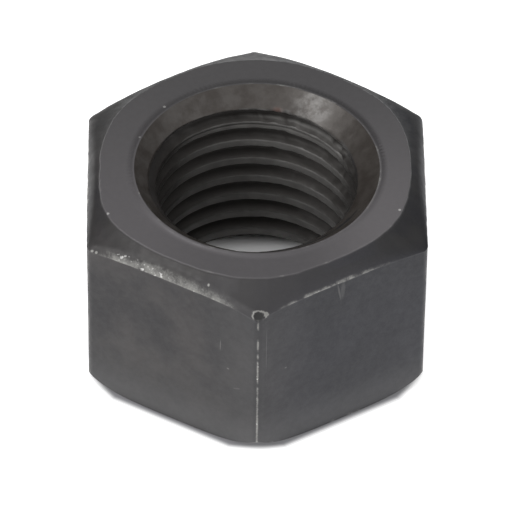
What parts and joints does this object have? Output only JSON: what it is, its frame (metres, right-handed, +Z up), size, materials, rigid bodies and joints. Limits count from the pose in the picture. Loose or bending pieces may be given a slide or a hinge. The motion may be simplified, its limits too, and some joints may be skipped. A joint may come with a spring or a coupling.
{
  "type": "hex nut",
  "caption": "Thick hexagon nut in matte black steel with a coarse right-hand internal thread, countersunk mouths and chamfered bearing faces.",
  "frame": {"origin": "centre of the lower bearing face, on the thread axis", "axes": "+Z up the thread axis, +Y to a corner of the hexagon, +X square to a wrench flat"},
  "size_m": [0.054, 0.0618, 0.034],
  "materials": {
    "black_steel": "black oxide, matte, oiled"
  },
  "bodies": {
    "root": {"hex_nut": "black_steel"}
  },
  "joints": []
}
